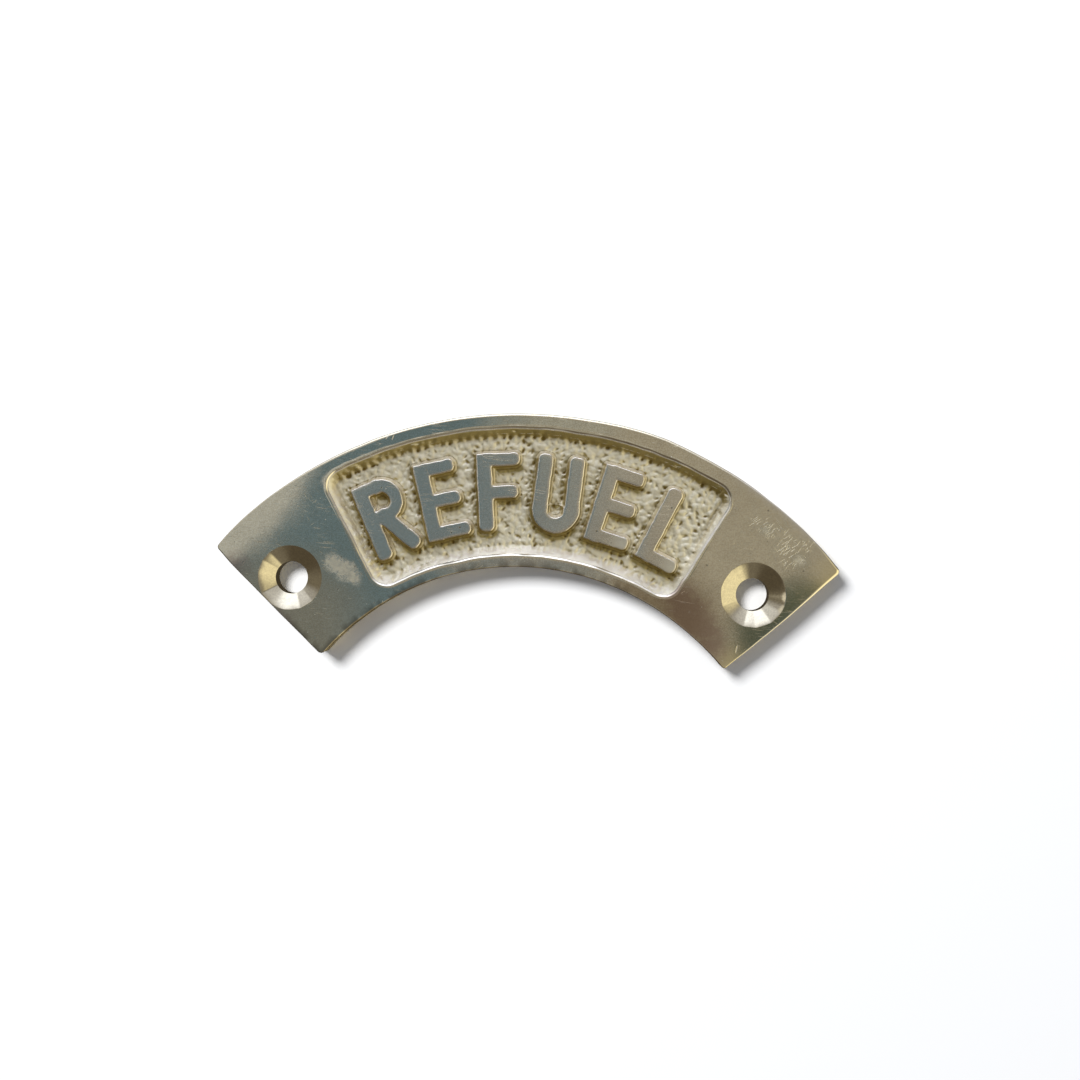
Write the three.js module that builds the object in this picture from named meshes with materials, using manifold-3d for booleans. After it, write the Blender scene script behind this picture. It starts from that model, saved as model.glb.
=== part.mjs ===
// Curved tally plate for a boat's deck fuel filler: one brass casting, lying on its back.
// Units are millimetres. The arc is drawn about the filler's axis, with +Y towards the crown of
// the arc and +Z out of the deck; at the end the group is moved so that its origin is the middle
// of its bounding box, on the back face.
import * as THREE from "three";
import { mergeVertices } from "three/addons/utils/BufferGeometryUtils.js";
import Module from "manifold-3d";

// ---- driving dimensions ----
const INNER_R = 38.5; // clears the 76 mm flange of a 38 mm deck filler
const OUTER_R = 61.5;
const THICKNESS = 4.0;
const END_DEG = { outer: 49.8, inner: 51.4 }; // half angle of the ends, at each arc
const CORNER_R = 0.8;
const TOP_ROUND = 0.3; // rounding of the top's outer edge

// The screw holes were drilled by hand, so the two places differ a little.
const SCREWS = [
  { r: 50.1, degrees: -44.8 },
  { r: 49.4, degrees: 43.6 },
];
const SCREW_HOLE_D = 4.9; // No. 10 wood screw, with clearance
const SCREW_HEAD_D = 9.7; // at the top face
const COUNTERSINK_DEG = 118; // cut with the point of a large twist drill

const PANEL_R = { outer: 59.2, inner: 40.6 }; // edge of the sunk panel, at the top face
const PANEL_DEG = { outer: 31.5, inner: 32.2 };
const PANEL_CORNER_R = 2.5;
const PANEL_DEPTH = 1.3;
const PANEL_WALL_RUN = 1.3; // the sloping wall's width, seen from above
const GROUND_THICKNESS = 0.4;
const GROUND_GAP = 0.3; // between the ground's rim and the pocket it fills

const LETTER_HEIGHT = 11.6; // flat top, without the flared foot
const LETTER_MID_R = 49.8;
const LETTER_FLARE = 0.45; // the foot stands out this far all round
const STEM = 2.25;
const ARM = 1.9;
const SHORT_ARM = 0.5; // how much less far the shorter arms reach
const BOWL_R = 2.25; // the R's bowl, at the middle of its stroke

const GROUND_Z = THICKNESS - PANEL_DEPTH;
const CUT = 1; // how far a cutter runs past the face it opens
const SAG = 0.02; // the most that a facet may leave its arc

const wasm = await Module();
wasm.setup();

// ---- solids: three.js geometry in, manifold-3d for joins and cuts, three.js geometry out ----
const solid = (geometry) => {
  const bare = new THREE.BufferGeometry().setIndex(geometry.index);
  bare.setAttribute("position", geometry.getAttribute("position"));
  const merged = mergeVertices(bare, 1e-5);
  return new wasm.Manifold(
    new wasm.Mesh({
      numProp: 3,
      vertProperties: merged.attributes.position.array,
      triVerts: new Uint32Array(merged.index.array),
    }),
  );
};

const geometryOf = (body) => {
  const mesh = body.getMesh();
  return new THREE.BufferGeometry()
    .setAttribute("position", new THREE.BufferAttribute(mesh.vertProperties, 3))
    .setIndex(new THREE.BufferAttribute(mesh.triVerts, 1));
};

// ---- outlines ----
const radians = THREE.MathUtils.degToRad;

// A point on a circle about the filler's axis, at an angle clockwise from the crown.
const onArc = (r, degrees) =>
  new THREE.Vector2(r * Math.sin(radians(degrees)), r * Math.cos(radians(degrees)));

// Points of an arc, angles in radians from +X, in an even number of steps.
const arc = (centre, r, from, to) => {
  const step = 2 * Math.acos(1 - Math.min(SAG / r, 0.2));
  const steps = 2 * Math.max(1, Math.ceil(Math.abs(to - from) / step / 2));
  return Array.from({ length: steps + 1 }, (_, i) => {
    const a = from + ((to - from) * i) / steps;
    return new THREE.Vector2(centre.x + r * Math.cos(a), centre.y + r * Math.sin(a));
  });
};

// A piece of a ring with straight ends and rounded corners, about the filler's axis. Its edge can
// be moved in by inset, all round, which leaves the corners' centres where they are.
const ringSector = (radius, halfDegrees, corner, inset = 0) => {
  const tip = onArc(radius.outer, halfDegrees.outer);
  const heel = onArc(radius.inner, halfDegrees.inner);
  const along = tip.clone().sub(heel).normalize();
  const out = new THREE.Vector2(along.y, -along.x);
  const reach = out.dot(tip) - corner;
  const cornerCentre = (r) =>
    out.clone().multiplyScalar(reach).addScaledVector(along, Math.sqrt(r * r - reach * reach));
  const outer = cornerCentre(radius.outer - corner);
  const inner = cornerCentre(radius.inner + corner);
  const axis = new THREE.Vector2();
  const endAngle = out.angle() - 2 * Math.PI;
  const round = corner - inset;
  const right = [
    ...arc(outer, round, outer.angle(), endAngle),
    ...arc(inner, round, endAngle, inner.angle() - Math.PI),
  ];
  const left = right.map((p) => new THREE.Vector2(-p.x, p.y)).reverse();
  const crown = arc(axis, radius.outer - inset, Math.PI - outer.angle(), outer.angle());
  const hollow = arc(axis, radius.inner + inset, inner.angle(), Math.PI - inner.angle());
  return [...crown.slice(1, -1), ...right, ...hollow.slice(1, -1), ...left];
};

// An outline raised into a solid whose underside is at z. A bevel widens it from its own outline
// at both faces to run beyond it, over rise.
const raise = (points, z, depth, run = 0, rise = 0) => {
  const geometry = new THREE.ExtrudeGeometry(new THREE.Shape(points), {
    depth: depth - 2 * rise,
    bevelEnabled: run > 0,
    bevelSize: run,
    bevelThickness: rise,
    bevelSegments: 1,
  });
  return solid(geometry.translate(0, 0, z + rise));
};

// ---- plate: slab, rounded at the top, less the panel, the ground's pocket and two screw holes ----
const slab = () => {
  const outline = ringSector({ outer: OUTER_R, inner: INNER_R }, END_DEG, CORNER_R);
  const geometry = new THREE.ExtrudeGeometry(new THREE.Shape(outline), {
    depth: THICKNESS + CUT - 2 * TOP_ROUND,
    bevelSize: TOP_ROUND,
    bevelOffset: -TOP_ROUND,
    bevelThickness: TOP_ROUND,
    bevelSegments: 3,
  });
  const body = solid(geometry.translate(0, 0, TOP_ROUND - CUT));
  const below = new THREE.BoxGeometry(4 * OUTER_R, 4 * OUTER_R, 2 * CUT);
  return body.subtract(solid(below.translate(0, 0, -CUT)));
};

const floorOutline = (gap) =>
  ringSector(PANEL_R, PANEL_DEG, PANEL_CORNER_R, PANEL_WALL_RUN + gap);

const panelCutter = () => {
  const depth = 2 * PANEL_DEPTH + CUT;
  return raise(floorOutline(0), GROUND_Z, depth, PANEL_WALL_RUN, PANEL_DEPTH);
};

const pocketCutter = () =>
  raise(floorOutline(0), GROUND_Z - GROUND_THICKNESS, GROUND_THICKNESS + PANEL_DEPTH);

const screwCutter = ({ r: screwR, degrees }) => {
  const hole = SCREW_HOLE_D / 2;
  const head = SCREW_HEAD_D / 2;
  const spread = Math.tan(THREE.MathUtils.degToRad(COUNTERSINK_DEG / 2));
  const profile = [
    [0, -CUT],
    [hole, -CUT],
    [hole, THICKNESS - (head - hole) / spread],
    [head + CUT * spread, THICKNESS + CUT],
    [0, THICKNESS + CUT],
  ].map(([r, z]) => new THREE.Vector2(r, z));
  const at = onArc(screwR, degrees);
  const geometry = new THREE.LatheGeometry(profile, 48);
  return solid(geometry.rotateX(Math.PI / 2).translate(at.x, at.y, 0));
};

const plate = () =>
  [panelCutter(), pocketCutter(), ...SCREWS.map(screwCutter)].reduce(
    (body, cutter) => body.subtract(cutter),
    slab(),
  );

// ---- ground: the panel's floor, which keeps the sand's texture ----
const ground = () =>
  raise(floorOutline(GROUND_GAP), GROUND_Z - GROUND_THICKNESS, GROUND_THICKNESS);

// ---- letters: each is a union of strokes, with flat tops and flared feet ----
// A straight stroke from a to b, whose two ends are square or round.
const bar = (a, b, width, ends = ["square", "square"]) => {
  const from = new THREE.Vector2(...a);
  const to = new THREE.Vector2(...b);
  const side = to.clone().sub(from).angle() + Math.PI / 2;
  const end = (kind, at, start) => {
    const points = arc(at, width / 2, start, start + Math.PI);
    return kind === "round" ? points : [points[0], points.at(-1)];
  };
  return [...end(ends[0], from, side), ...end(ends[1], to, side - Math.PI)];
};

// A curved stroke about a centre, angles in radians from +X.
const bow = (centre, r, width, from, to) => {
  const at = new THREE.Vector2(...centre);
  return [...arc(at, r + width / 2, from, to), ...arc(at, r - width / 2, to, from)];
};

const TOP = LETTER_HEIGHT / 2;
const ARM_TOP = TOP - ARM / 2;
const ROUND_TOP = TOP - STEM / 2; // the end point of a stem whose end is round
const OUTWARD = ["square", "round"];

// The stem's middle line and the arms' end points, for a letter so wide.
const stemX = (width) => (STEM - width) / 2;
const armEnd = (width) => (width - ARM) / 2;

// Each letter's strokes, about its own middle.
const STROKES = {
  r: (width) => {
    const x = stemX(width);
    const bowlX = armEnd(width) - BOWL_R;
    const bowlLow = ARM_TOP - 2 * BOWL_R;
    return [
      bar([x, TOP], [x, -ROUND_TOP], STEM, OUTWARD),
      bar([x, ARM_TOP], [bowlX, ARM_TOP], ARM),
      bar([x, bowlLow], [bowlX, bowlLow], ARM),
      bow([bowlX, ARM_TOP - BOWL_R], BOWL_R, ARM, -Math.PI / 2, Math.PI / 2),
      bar([bowlX - STEM / 4, bowlLow], [-x, -ROUND_TOP], STEM, ["round", "round"]),
    ];
  },
  e: (width) => {
    const x = stemX(width);
    const arm = (y, shorter) => bar([x, y], [armEnd(width) - shorter, y], ARM, OUTWARD);
    return [
      bar([x, TOP], [x, -TOP], STEM),
      arm(ARM_TOP, SHORT_ARM),
      arm(0, SHORT_ARM),
      arm(-ARM_TOP, 0),
    ];
  },
  f: (width) => {
    const x = stemX(width);
    return [
      bar([x, TOP], [x, -ROUND_TOP], STEM, OUTWARD),
      bar([x, ARM_TOP], [armEnd(width), ARM_TOP], ARM, OUTWARD),
      bar([x, 0], [armEnd(width) - SHORT_ARM, 0], ARM, OUTWARD),
    ];
  },
  u: (width) => {
    const x = stemX(width);
    const bendY = -x - ROUND_TOP;
    return [
      bar([x, bendY], [x, ROUND_TOP], STEM, OUTWARD),
      bar([-x, bendY], [-x, ROUND_TOP], STEM, OUTWARD),
      bow([0, bendY], -x, STEM, Math.PI, 2 * Math.PI),
    ];
  },
  l: (width) => {
    const x = stemX(width);
    return [
      bar([x, -TOP], [x, ROUND_TOP], STEM, OUTWARD),
      bar([x, -ARM_TOP], [armEnd(width), -ARM_TOP], ARM, OUTWARD),
    ];
  },
};

const letter = (strokes) => {
  const depth = 2 * PANEL_DEPTH + CUT;
  const whole = strokes
    .map((points) => raise(points, THICKNESS - depth, depth, LETTER_FLARE, PANEL_DEPTH))
    .reduce((sum, stroke) => sum.add(stroke));
  const below = new THREE.BoxGeometry(2 * LETTER_HEIGHT, 2 * LETTER_HEIGHT, 2 * depth);
  return whole.subtract(solid(below.translate(0, 0, GROUND_Z - depth)));
};

// The word, read from left to right: letter, width and the angle of its middle from the crown.
const WORD = [
  { name: "r", width: 6.9, degrees: -25.0 },
  { name: "e", width: 6.6, degrees: -14.9 },
  { name: "f", width: 6.5, degrees: -4.9 },
  { name: "u", width: 7.0, degrees: 5.1 },
  { name: "e", width: 6.6, degrees: 15.4 },
  { name: "l", width: 6.3, degrees: 25.7 },
];

// ---- assembly ----
const polished = new THREE.MeshStandardMaterial({ color: 0xd9c08a, roughness: 0.25, metalness: 1 });
const asCast = new THREE.MeshStandardMaterial({ color: 0xc9b684, roughness: 0.6, metalness: 1 });

const named = (name, body, material) => {
  const mesh = new THREE.Mesh(geometryOf(body), material);
  mesh.name = name;
  return mesh;
};

const casting = new THREE.Group();
casting.add(named("cast_plate", plate(), polished));
casting.add(named("recess_ground", ground(), asCast));
WORD.forEach(({ name, width, degrees }, i) => {
  const mesh = named(`letter_${i + 1}_${name}`, letter(STROKES[name](width)), polished);
  const at = onArc(LETTER_MID_R, degrees);
  mesh.position.set(at.x, at.y, 0);
  mesh.rotation.z = -radians(degrees);
  casting.add(mesh);
});

const middle = new THREE.Box3().setFromObject(casting).getCenter(new THREE.Vector3());
casting.position.set(-middle.x, -middle.y, 0);

export default casting;
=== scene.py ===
"""Curved brass tally plate for a boat's deck filler, lying on a white table under soft light."""

from math import atan2, ceil, cos, hypot, pi, radians, sin, sqrt, tan

import bpy
import numpy as np
from mathutils import Matrix, Vector
from mathutils.geometry import delaunay_2d_cdt


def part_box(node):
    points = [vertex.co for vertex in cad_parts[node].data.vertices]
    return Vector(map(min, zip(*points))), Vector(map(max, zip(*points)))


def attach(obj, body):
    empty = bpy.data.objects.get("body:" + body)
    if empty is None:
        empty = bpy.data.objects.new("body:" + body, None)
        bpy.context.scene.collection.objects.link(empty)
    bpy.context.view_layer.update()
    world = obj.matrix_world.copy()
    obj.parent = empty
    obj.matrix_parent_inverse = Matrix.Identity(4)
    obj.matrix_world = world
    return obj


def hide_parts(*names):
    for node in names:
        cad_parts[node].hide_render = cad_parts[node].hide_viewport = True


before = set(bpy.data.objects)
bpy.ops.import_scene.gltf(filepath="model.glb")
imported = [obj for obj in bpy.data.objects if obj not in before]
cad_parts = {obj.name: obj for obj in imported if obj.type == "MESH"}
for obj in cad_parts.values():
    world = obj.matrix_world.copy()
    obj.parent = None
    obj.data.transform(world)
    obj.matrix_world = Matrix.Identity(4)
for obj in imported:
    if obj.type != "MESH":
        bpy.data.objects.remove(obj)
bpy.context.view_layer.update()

# ---- driving dimensions, in millimetres, about the filler's axis as in the CAD ----
INNER_R = 38.5
OUTER_R = 61.5
THICKNESS = 4.0
END_DEG = (49.8, 51.4)  # half angle of the ends, at the outer and the inner arc
CORNER_R = 0.8
TOP_ROUND = 0.3
SCREWS = ((50.1, -44.8), (49.4, 43.6))  # radius and degrees from the crown
SCREW_HOLE_R = 2.45
SCREW_HEAD_R = 4.85
COUNTERSINK_DEG = 118
FLATS = 11  # flats that the drill's chatter has left round each countersink
CHATTER_SIDE = 225  # degrees from +X: the middle of the side on which the flats show
CHATTER = 0.15  # how deep the flats are
PANEL_R = (59.2, 40.5)  # the sunk panel's outer and inner edge, at the top face
PANEL_DEG = (31.5, 32.2)
PANEL_CORNER_R = 2.5
PANEL_DEPTH = 1.3
RIM_WEAR = 0.13  # how far the rim's bevel falls
WALL_RUN = 1.35  # the panel wall's width, seen from above
FLANK_RUN = 0.5  # the width of a letter's flank
FOOT = 0.58  # how far a letter's own piece reaches out from its edge
EDGE = 0.11  # the width of the crisp polished bevel round each letter
EDGE_WEAR = 0.045  # how far that bevel falls
RIM_EDGE = 0.30  # the width of the bevel round the panel
POCKET_Z = 2.3  # the underside of the pebbled ground
LETTER_HEIGHT = 11.6
LETTER_MID_R = 49.8
STEM = 2.25
ARM = 1.9
SHORT_ARM = 0.5
BOWL_R = 2.25
LAP = 0.45  # how far straight and curved strokes run into one another
WORD = (  # node, letter, width, degrees from the crown
    ("letter_1_r", "r", 6.9, -25.0),
    ("letter_2_e", "e", 6.6, -14.9),
    ("letter_3_f", "f", 6.5, -4.9),
    ("letter_4_u", "u", 7.0, 5.1),
    ("letter_5_e", "e", 6.6, 15.4),
    ("letter_6_l", "l", 6.3, 25.7),
)
FLOOR_Z = THICKNESS - PANEL_DEPTH
# Where a file has taken the outline in, or left it proud: radius, degrees, reach and depth.
FILED = (
    (61.5, -49.8, 2.5, 0.2),
    (38.5, 51.4, 6.0, 0.3),
    (61.5, 18.0, 9.0, -0.4),
    (61.5, 31.0, 5.0, -0.1),
)
# Where the metal ran thin, at the lower right of the last two letters: radius, degrees and reach.
WEAK = ((44.6, 18.9, 2.3), (45.2, 29.6, 2.6))
LAND_Z = THICKNESS - 0.03  # the mean height of the polished face

MM = 0.001
AXIS_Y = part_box("cast_plate")[1].y / MM - OUTER_R  # the filler's axis, in the row's frame


# ---- seeded noise over the plane ----
def hashed(ix, iy, seed):
    """A random number from 0 to 1 for each lattice point, the same on every run."""
    h = ix.astype(np.uint32) * np.uint32(374761393) + iy.astype(np.uint32) * np.uint32(668265263)
    h = h + np.uint32(seed * 974711 + 13)
    h = (h ^ (h >> np.uint32(13))) * np.uint32(1274126177)
    h = (h ^ (h >> np.uint32(16))) * np.uint32(2246822519)
    return (h ^ (h >> np.uint32(15))).astype(np.float64) / 2.0**32


def noise(x, y, size, seed):
    """Smooth noise from -1 to 1 whose blobs are about size across."""
    u, v = x / size, y / size
    ix, iy = np.floor(u).astype(np.int64), np.floor(v).astype(np.int64)
    fx, fy = u - ix, v - iy
    sx, sy = fx * fx * (3 - 2 * fx), fy * fy * (3 - 2 * fy)
    corner = [hashed(ix + dx, iy + dy, seed) for dy in (0, 1) for dx in (0, 1)]
    low = corner[0] * (1 - sx) + corner[1] * sx
    high = corner[2] * (1 - sx) + corner[3] * sx
    return 2 * (low * (1 - sy) + high * sy) - 1


def smooth(value, low=0.0, high=1.0):
    """0 below low, 1 above high, with a soft step between."""
    t = np.clip((value - low) / (high - low), 0, 1)
    return t * t * (3 - 2 * t)


def hump(value, middle, width):
    """1 where the value is at the middle, falling to 0 within a few widths of it."""
    return np.exp(-(((value - middle) / width) ** 2))


def spot(x, y, middle, size):
    """1 at a point of the plane, falling to 0 within a few sizes of it."""
    return np.exp(-((x - middle[0]) ** 2 + (y - middle[1]) ** 2) / size**2)


# ---- distances in the plane, negative inside ----
def on_arc(r, degrees):
    return np.array([r * sin(radians(degrees)), r * cos(radians(degrees))])


def end_plane(radius, half_degrees):
    """The direction square to a ring sector's right end, and its distance from the axis."""
    tip, heel = on_arc(radius[0], half_degrees[0]), on_arc(radius[1], half_degrees[1])
    along = (tip - heel) / np.linalg.norm(tip - heel)
    out = np.array([along[1], -along[0]])
    return out, out @ tip


def rounded(a, b, corner):
    """Distance to a rounded corner, from the distances to its two sides."""
    a, b = a + corner, b + corner
    outside = np.hypot(np.maximum(a, 0), np.maximum(b, 0))
    return np.minimum(np.maximum(a, b), 0) + outside - corner


def sector_distance(x, y, radius, half_degrees, corner):
    """Distance to a piece of a ring with straight ends and rounded corners."""
    r = np.hypot(x, y)
    out, reach = end_plane(radius, half_degrees)
    to_arcs = np.maximum(r - radius[0], radius[1] - r)
    return rounded(to_arcs, np.abs(x) * out[0] + y * out[1] - reach, corner)


def bar(u, v, a, b, width, ends="ss"):
    """Distance to a straight stroke from a to b. Its ends are square, s, or round, r."""
    a, b = np.array(a), np.array(b)
    length = np.linalg.norm(b - a)
    along = (b - a) / length
    s = (u - a[0]) * along[0] + (v - a[1]) * along[1]
    n = (v - a[1]) * along[0] - (u - a[0]) * along[1]
    half = width / 2
    reach = [half if e == "r" else 0.0 for e in ends]
    corner = [0.8 * half if e == "r" else 0.15 for e in ends]
    middle, half_length = (length + reach[1] - reach[0]) / 2, (length + sum(reach)) / 2
    round_r = np.where(s > middle, corner[1], corner[0])
    return rounded(np.abs(s - middle) - half_length, np.abs(n) - half, round_r)


def band(u, v, centre, r, width):
    return np.abs(np.hypot(u - centre[0], v - centre[1]) - r) - width / 2


def letter_strokes(letter, width, u, v):
    """Distances to each stroke of a letter, about its own middle."""
    top = LETTER_HEIGHT / 2
    arm_top = top - ARM / 2
    round_top = top - STEM / 2
    x = (STEM - width) / 2
    end = (width - ARM) / 2

    def stem(start, stop, x=x, ends="sr"):
        return bar(u, v, (x, start), (x, stop), STEM, ends)

    def arm(y, reach, ends="sr"):
        return bar(u, v, (x, y), (reach, y), ARM, ends)

    if letter == "r":
        bowl_x, bowl_low = end - BOWL_R, arm_top - 2 * BOWL_R
        bowl = band(u, v, (bowl_x, arm_top - BOWL_R), BOWL_R, ARM)
        return [
            stem(top, -round_top),
            arm(arm_top, bowl_x + LAP, "ss"),
            arm(bowl_low, bowl_x + LAP, "ss"),
            np.maximum(bowl, bowl_x - LAP - u),
            bar(u, v, (bowl_x - STEM / 4, bowl_low), (-x, -round_top), STEM, "rr"),
        ]
    if letter == "e":
        short = end - SHORT_ARM
        back = stem(top, -top, ends="ss")
        return [back, arm(arm_top, short), arm(0.0, short), arm(-arm_top, end)]
    if letter == "f":
        return [stem(top, -round_top), arm(arm_top, end), arm(0.0, end - SHORT_ARM)]
    if letter == "u":
        bend = -x - round_top
        bowl = np.maximum(band(u, v, (0.0, bend), -x, STEM), v - bend - LAP)
        return [stem(bend - LAP, round_top), stem(bend - LAP, round_top, -x), bowl]
    return [stem(-top, round_top), arm(-arm_top, end)]


def soft_union(distances, blend=0.25):
    """The least distance, with inner corners filled a little, as in a casting."""
    total = distances[0]
    for d in distances[1:]:
        h = np.clip(0.5 + (d - total) / (2 * blend), 0, 1)
        total = d * (1 - h) + total * h - blend * h * (1 - h)
    return total


def letter_axes(degrees):
    """A letter's middle, its rightward and its upward direction."""
    a = radians(degrees)
    right = np.array([cos(a), -sin(a)])
    up = np.array([sin(a), cos(a)])
    return up * LETTER_MID_R, right, up


def letters_distance(x, y):
    """Distance to the flat top of the nearest letter, with slightly unsteady edges."""
    nearest = np.full(x.shape, 99.0)
    wobble = 0.05 * noise(x, y, 1.1, 21) + 0.03 * noise(x, y, 0.5, 22)
    for _, letter, width, degrees in WORD:
        middle, right, up = letter_axes(degrees)
        dx, dy = x - middle[0], y - middle[1]
        u, v = dx * right[0] + dy * right[1], dx * up[0] + dy * up[1]
        near = np.hypot(u, v) < LETTER_HEIGHT
        if near.any():
            strokes = letter_strokes(letter, width, u[near], v[near])
            nearest[near] = np.minimum(nearest[near], soft_union(strokes))
    return nearest + wobble


def letters_slope(x, y, distance, h=0.05):
    """How fast the distance to the letters grows towards the east and towards the north."""
    east = (letters_distance(x + h, y) - distance) / h
    north = (letters_distance(x, y + h) - distance) / h
    return east, north


def panel_wander(x, y):
    """How far outwards the panel's edge strays from its drawn line."""
    return 0.09 * noise(x, y, 3.2, 31) + 0.04 * noise(x, y, 1.2, 32)


def panel_inset(x, y):
    """How far a point lies inside the panel's edge."""
    return panel_wander(x, y) - sector_distance(x, y, PANEL_R, PANEL_DEG, PANEL_CORNER_R)


# ---- the casting's top surface: one height for each point, which every piece follows ----
PIT_PITCH = 0.86
PIT_R = 0.25
TOOTH_PITCH_DEG = 1.25
THIN = 0.10  # how far the letters' tops fall short where the metal ran thin


def neighbours(x, y, pitch, spread, seed):
    """The nine cells round each point, one by one, each with a random middle."""
    ix, iy = np.floor(x / pitch).astype(np.int64), np.floor(y / pitch).astype(np.int64)
    for dx in (-1, 0, 1):
        for dy in (-1, 0, 1):
            jx, jy = ix + dx, iy + dy
            px = jx + 0.5 + spread * (hashed(jx, jy, seed) - 0.5)
            py = jy + 0.5 + spread * (hashed(jx, jy, seed + 1) - 0.5)
            yield jx, jy, px, py


def pits(x, y, pitch=PIT_PITCH, seed=41):
    """Soft pits punched close together, each one leaning its own way."""
    depth = np.zeros(x.shape)
    for jx, jy, px, py in neighbours(x, y, pitch, 0.85, seed):
        lean = pi * hashed(jx, jy, seed + 2)
        size = PIT_R * (0.75 + 0.5 * hashed(jx, jy, seed + 3))
        strength = 0.08 + 0.92 * hashed(jx, jy, seed + 4) ** 2.2
        ox, oy = x - px * pitch, y - py * pitch
        a = (ox * np.cos(lean) + oy * np.sin(lean)) / (1.35 * size)
        b = (oy * np.cos(lean) - ox * np.sin(lean)) / (0.8 * size)
        depth += strength * np.exp(-(a * a + b * b))
    return np.minimum(depth, 1.2)


def pebbles(x, y, pitch, seed):
    """Low domes packed side by side: 1 at their tops, about 0 in the crevices between them."""
    nearest = np.full(x.shape, 9.0)
    for _, _, px, py in neighbours(x, y, pitch, 0.8, seed):
        nearest = np.minimum(nearest, (x / pitch - px) ** 2 + (y / pitch - py) ** 2)
    return np.maximum(1 - nearest / 0.3, -0.35)


def wall_teeth(x, y, inset):
    """A row of notches along the foot of the panel's wall, where the stippling tool stood."""
    degrees = np.degrees(np.arctan2(x, y)) + 0.25 * noise(x, y, 4.0, 51)
    cell = np.floor(degrees / TOOTH_PITCH_DEG)
    across = degrees / TOOTH_PITCH_DEG - cell - 0.5
    strength = 0.45 + 0.55 * hashed(cell.astype(np.int64), np.zeros(x.shape, np.int64), 52)
    along = (inset - 1.08 - 0.3 * (strength - 0.5)) / 0.42
    outer = smooth(np.hypot(x, y), 47, 54)
    return (0.3 + 0.7 * outer) * strength * np.exp(-((across / 0.27) ** 2) - along**2)


def beside_letters(x, y, distance):
    """The strip at the letters' feet: faint on their right and upper sides, 1 on the others."""
    east, north = letters_slope(x, y, distance)
    side = 0.2 + 0.8 * smooth(-0.75 * east - 0.65 * north, -0.3, 0.5)
    return side * hump(distance, 0.72, 0.33)


def weak_places(x, y):
    """1 where the metal ran thin, 0 far from there."""
    weak = np.zeros(x.shape)
    for r, degrees, size in WEAK:
        weak += spot(x, y, on_arc(r, degrees), size)
    return np.clip(weak, 0, 1)


def ground_relief(x, y, inset, distance):
    """The pebbled ground's height about its mean."""
    shift = 0.22 * noise(x, y, 0.9, 60)
    domes = 0.085 * pebbles(x + shift, y - shift, 1.0, 65)
    lumps = 0.10 * noise(x, y, 1.25, 61) + 0.018 * noise(x, y, 0.6, 62)
    holes = 0.30 * pits(x, y) + 0.42 * wall_teeth(x, y, inset)
    holes = holes + 0.50 * beside_letters(x, y, distance) * pits(x, y, 0.84, 45)
    return 0.08 + domes + lumps - holes


def land_height(x, y):
    """The polished face, which hand work on a wheel has left very slightly uneven."""
    waves = 0.5 * noise(x, y, 14, 71) + 0.3 * noise(x, y, 6, 72) + 0.04 * noise(x, y, 2.5, 73)
    return LAND_Z + 0.03 * waves


def flank(distance, run, ease):
    """How far down a cast flank a point is: 0 at its crisp top edge, 1 at its eased foot."""
    t = np.clip(distance / run, 0, 1)
    return 1 - (1 - t) ** ease


def bevel(distance, width, drop):
    """The polished edge, worn down a little by the wheel."""
    return drop * smooth(distance, -width, 0.0) ** 0.7


def pillow(distance):
    """How far a letter's top falls away towards its edge, where the wheel has leaned over it."""
    return 0.02 * smooth(distance, -0.5, 0.2) ** 1.5


def bead(inset):
    """The slight lip that the pattern's joint has left round the panel."""
    return 0.04 * hump(inset, -0.38, 0.11)


def top_height(x, y):
    """The height of the casting's top: land, bevel, lip, wall, pebbled ground and letters."""
    inset = panel_inset(x, y)
    distance = letters_distance(x, y)
    land = land_height(x, y)
    worn = RIM_WEAR * (1 + 0.5 * noise(x, y, 2.3, 33))
    lip = bead(inset) * (1 + 0.4 * noise(x, y, 1.5, 34))
    brink = land - bevel(inset, RIM_EDGE, worn) + lip
    height = brink + (FLOOR_Z - brink) * flank(inset, WALL_RUN, 1.35)
    height = height + ground_relief(x, y, inset, distance) * smooth(inset, 0.0, 0.45)
    ledge = smooth(np.hypot(x, y), 50, 55) * smooth(x, 2, 14)
    height = height + 0.07 * ledge * hump(inset, 0.62, 0.10)
    letter_top = land - THIN * weak_places(x, y) - 0.02 - pillow(distance)
    letter_top = letter_top - bevel(distance, EDGE, EDGE_WEAR)
    return letter_top + (height - letter_top) * flank(distance, FLANK_RUN, 2.0)


# ---- meshes ----
def to_row(points):
    """Points about the filler's axis, in millimetres, into the row's frame, in metres."""
    return (np.asarray(points, float) + (0, AXIS_Y, 0)) * MM


def in_scene(name, data):
    """A new object in the scene."""
    thing = bpy.data.objects.new(name, data)
    bpy.context.scene.collection.objects.link(thing)
    return thing


def new_mesh(name, points, faces):
    mesh = bpy.data.meshes.new(name)
    mesh.from_pydata(to_row(points).tolist(), [], faces)
    return mesh


def make_piece(name, points, faces, replaced):
    """One closed piece of the visual model, tied to the row's body, that hides the CAD node it
    replaces.
    """
    mesh = new_mesh(name, points, faces)
    mesh.validate()
    mesh.update()
    piece = in_scene(name, mesh)
    mesh.shade_smooth()
    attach(piece, "root")
    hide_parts(replaced)
    return piece


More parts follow.
